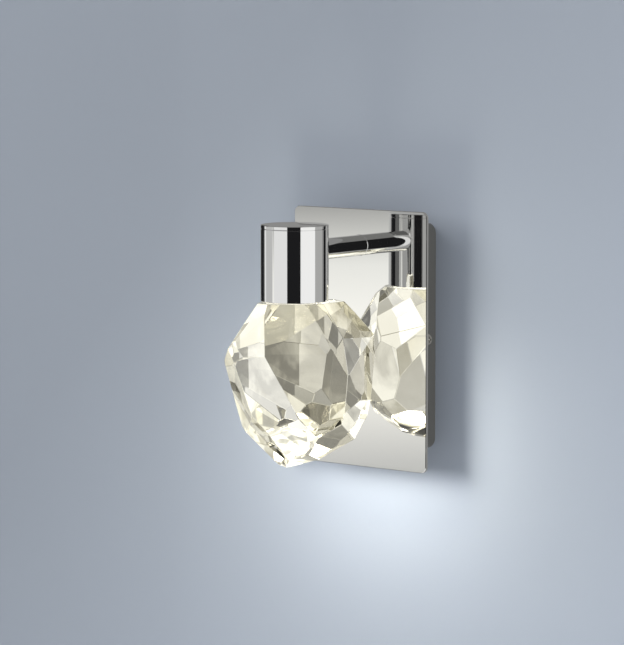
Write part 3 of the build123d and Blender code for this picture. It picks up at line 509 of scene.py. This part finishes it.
def plain_surface(name, color, mirrored, see_through_back, painted_light_slope=(0.0, 0.0, 0.0)):
    """A matte painted surface whose tone carries painted light and shade along a slope; metal and glass see
    one plain tone.
    """
    material, tree, out = blank_material(name)
    place = add_node(tree, "ShaderNodeTexCoord")
    cloud = add_node(tree, "ShaderNodeTexNoise", {
        "Vector": place.outputs["Object"], "Scale": 3.0, "Detail": 2.0})
    slope = add_node(tree, "ShaderNodeVectorMath", {
        0: place.outputs["Object"], 1: painted_light_slope}, operation="DOT_PRODUCT")
    sloped = add_node(tree, "ShaderNodeClamp", {
        "Value": slope.outputs["Value"], "Min": PAINTED_SHADE_LIMIT, "Max": PAINTED_LIGHT_LIMIT})
    cloudy = add_node(tree, "ShaderNodeMath", {
        0: cloud.outputs["Fac"], 1: PAINT_CLOUD, 2: sloped.outputs["Result"]}, operation="MULTIPLY_ADD")
    level = add_node(tree, "ShaderNodeMath", {0: cloudy.outputs["Value"], 1: PAINT_LEVEL}, operation="ADD")
    tone = add_node(tree, "ShaderNodeVectorMath", {
        0: color, "Scale": level.outputs["Value"]}, operation="SCALE")
    paint = add_node(tree, "ShaderNodeBsdfPrincipled", {
        "Base Color": tone.outputs["Vector"], "Roughness": 0.8})
    path = add_node(tree, "ShaderNodeLightPath")
    plain = add_node(tree, "ShaderNodeEmission", {
        "Color": (*mirrored, 1.0), "Strength": room_level(tree, path)})
    seen = add_node(tree, "ShaderNodeMath", {
        0: path.outputs["Is Glossy Ray"], 1: path.outputs["Is Transmission Ray"]}, operation="MAXIMUM")
    mixed = add_node(tree, "ShaderNodeMixShader", {
        0: seen.outputs["Value"], 1: paint.outputs["BSDF"], 2: plain.outputs["Emission"]})
    surface = mixed.outputs["Shader"]
    if see_through_back:
        clear = add_node(tree, "ShaderNodeBsdfTransparent")
        side = add_node(tree, "ShaderNodeNewGeometry")
        open_back = add_node(tree, "ShaderNodeMixShader", {
            0: side.outputs["Backfacing"], 1: surface, 2: clear.outputs["BSDF"]})
        surface = open_back.outputs["Shader"]
    tree.links.new(surface, out.inputs["Surface"])
    return material


bpy.ops.object.select_all(action="DESELECT")
bpy.ops.mesh.primitive_plane_add(
    size=WALL_SIZE, location=(0, WALL_GAP, WALL_SIZE / 2 - FLOOR_DROP), rotation=(math.radians(90), 0, 0))
wall = bpy.context.active_object
wall.name = "studio_wall"
bpy.ops.object.transform_apply(location=True, rotation=True, scale=True)
# painted light and shade: the wall's paint is lighter towards the right and lower down, darker up to the
# left
wall.data.materials.append(plain_surface(
    "wall_paint", (0.375, 0.415, 0.48), (0.26, 0.26, 0.255), True, painted_light_slope=(0.9, 0.0, -0.8)))

bpy.ops.object.select_all(action="DESELECT")
bpy.ops.mesh.primitive_plane_add(size=FLOOR_SIZE, location=(0, 0, -FLOOR_DROP))
floor = bpy.context.active_object
floor.name = "studio_floor"
floor.data.materials.append(plain_surface("floor_paint", (0.75, 0.75, 0.74), SKY_TONE, False))

# ---- studio: light ---------------------------------------------------------------------
# A large soft box on each side and an even sky light the lamp and the wall, and the
# crystal throws its own pool of light on the wall.  Polished metal sees plain cards instead,
# which give the chrome its bands; the glass sees three of them.

AIM = Vector((0.0, -0.04, 0.0))


def round_the_lamp(turn, lift, distance):
    """A place round the object; turn is from -Y towards +X, in degrees."""
    flat = math.cos(math.radians(lift)) * distance
    return AIM + Vector((flat * math.sin(math.radians(turn)), -flat * math.cos(math.radians(turn)),
                         distance * math.sin(math.radians(lift))))


def hang_lamp(name, lamp, place, power, color):
    """Puts up a lamp that faces the object and lights matte surfaces only."""
    lamp.energy = power
    lamp.color = color
    hung = bpy.data.objects.new(name, lamp)
    hung.location = place
    hung.rotation_euler = (AIM - place).to_track_quat("-Z", "Y").to_euler()
    hung.visible_camera = False
    hung.visible_glossy = False
    hung.visible_transmission = False
    bpy.context.scene.collection.objects.link(hung)


def soft_box(name, turn, lift, distance, width, height, power, color=(1.0, 1.0, 1.0)):
    """A rectangular lamp that stands round the object."""
    lamp = bpy.data.lights.new(name, "AREA")
    lamp.shape = "RECTANGLE"
    lamp.size = width
    lamp.size_y = height
    hang_lamp(name, lamp, round_the_lamp(turn, lift, distance), power, color)


def card(name, place, facing, width, height, tones, in_glass=True):
    """A flat card that only polished metal and glass see, toned from its foot to its top."""
    bpy.ops.object.select_all(action="DESELECT")
    bpy.ops.mesh.primitive_plane_add(size=1.0, location=place)
    made = bpy.context.active_object
    made.name = name
    made.scale = (width, height, 1.0)
    made.rotation_euler = facing.to_track_quat("Z", "Y").to_euler()
    material, tree, out = blank_material(name + "_face")
    spot = add_node(tree, "ShaderNodeTexCoord")
    axes = add_node(tree, "ShaderNodeSeparateXYZ", {"Vector": spot.outputs["Object"]})
    rise = add_node(tree, "ShaderNodeMath", {0: axes.outputs["Y"], 1: 0.5}, operation="ADD")
    ramp = color_ramp(tree, rise.outputs["Value"], tones)
    glow = add_node(tree, "ShaderNodeEmission", {"Color": ramp.outputs["Color"]})
    tree.links.new(glow.outputs["Emission"], out.inputs["Surface"])
    made.data.materials.append(material)
    made.visible_camera = False
    made.visible_diffuse = False
    made.visible_shadow = False
    made.visible_transmission = in_glass


def even(tone):
    """One tone from a card's foot to its top."""
    return (0.0, tone), (1.0, tone)


def card_round(name, turn, lift, distance, width, height, tones, in_glass=True):
    """A card that stands round the object and faces it."""
    place = round_the_lamp(turn, lift, distance)
    card(name, place, AIM - place, width, height, tones, in_glass)


soft_box("soft_box_left", -46, 24, 1.6, 0.8, 1.0, 12.0, (1.0, 0.99, 0.97))
soft_box("soft_box_right", 58, 12, 1.6, 1.0, 1.6, 5.4)

POOL_POWER = 0.36
POOL_RADIUS = 0.02
POOL_DROP = 0.028
POOL_COLOR = (1.0, 0.98, 0.93)
crystal_low, crystal_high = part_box("crystal")
crystal_middle = (Vector(crystal_low) + Vector(crystal_high)) / 2
pool = bpy.data.lights.new("crystal_pool", "POINT")
pool.shadow_soft_size = POOL_RADIUS
hang_lamp("crystal_pool", pool, crystal_middle - Vector((0.0, 0.0, POOL_DROP)), POOL_POWER, POOL_COLOR)

DARK = even((0.013, 0.013, 0.014))
WHITE = even((0.95, 0.95, 0.935))
WALL_GREY = even((0.42, 0.42, 0.41))
LEFT_GREY = even((0.54, 0.54, 0.53))
CEILING_GREY = even((0.20, 0.20, 0.195))
card_round("dark_flag", 34.6, 0, 0.9, 0.72, 1.6, DARK)
card_round("right_white", 77, 0, 1.0, 0.66, 1.6, WHITE)
card_round("plate_glow", -38.0, -6.3, 1.5, 0.16, 0.36, (
    (0.02, (0.42, 0.43, 0.41)), (0.16, (0.62, 0.62, 0.60)), (0.30, (0.90, 0.89, 0.84)),
    (0.55, (1.02, 1.01, 0.96)), (0.68, (0.88, 0.88, 0.84)), (0.84, (0.40, 0.40, 0.39)),
    (0.98, (0.30, 0.30, 0.295))))
WALL_FACE = Vector((0.0, -1.0, 0.0))
CARD_FRONT = -0.003
CEILING_FACE = Vector((0.0, 0.0, -1.0))
card("right_wall_bounce", Vector((0.69, CARD_FRONT, 0.0)), WALL_FACE, 1.0, 1.2, WHITE, in_glass=False)
card("right_wall_near", Vector((0.124, CARD_FRONT, 0.0)), WALL_FACE, 0.132, 1.2, WALL_GREY, in_glass=False)
card_round("left_grey", -58, 0, 1.6, 0.90, 1.8, LEFT_GREY, in_glass=False)
card_round("left_edge_dark", -89, 0, 1.0, 0.21, 1.6, DARK, in_glass=False)
card("ceiling_grey", Vector((0.3, -0.6, 0.6)), CEILING_FACE, 2.2, 2.0, CEILING_GREY, in_glass=False)
card("left_wall_shade", Vector((-0.455, CARD_FRONT, 0.0)), WALL_FACE, 0.65, 1.2, DARK, in_glass=False)

world = bpy.data.worlds.new("even_sky")
bpy.context.scene.world = world
world.use_nodes = True
sky_tree = world.node_tree
sky_tree.nodes.clear()
sky_out = add_node(sky_tree, "ShaderNodeOutputWorld")
sky_light = add_node(sky_tree, "ShaderNodeBackground", {
    "Color": (0.93, 0.96, 1.0, 1.0), "Strength": 0.50})
sky_path = add_node(sky_tree, "ShaderNodeLightPath")
sky_seen = add_node(sky_tree, "ShaderNodeBackground", {
    "Color": (*SKY_TONE, 1.0), "Strength": room_level(sky_tree, sky_path)})
sky_mix = add_node(sky_tree, "ShaderNodeMixShader", {
    0: sky_path.outputs["Is Diffuse Ray"], 1: sky_seen.outputs["Background"],
    2: sky_light.outputs["Background"]})
sky_tree.links.new(sky_mix.outputs["Shader"], sky_out.inputs["Surface"])

# ---- camera ----------------------------------------------------------------------------
# The photograph's own view: from the front right and slightly above, with a long lens.

CAMERA_PLACE = Vector((0.92706, -1.22930, 0.16873))
CAMERA_AIM = Vector((-0.02916, -0.01850, 0.00412))
CAMERA_LENS = 177.2
CAMERA_SENSOR = 36.0
camera_data = bpy.data.cameras.new("camera")
camera_data.lens = CAMERA_LENS
camera_data.sensor_width = CAMERA_SENSOR
camera = bpy.data.objects.new("camera", camera_data)
camera.location = CAMERA_PLACE
camera.rotation_euler = (CAMERA_AIM - CAMERA_PLACE).to_track_quat("-Z", "Y").to_euler()
bpy.context.scene.collection.objects.link(camera)
bpy.context.scene.camera = camera
bpy.context.scene.view_settings.view_transform = "Standard"
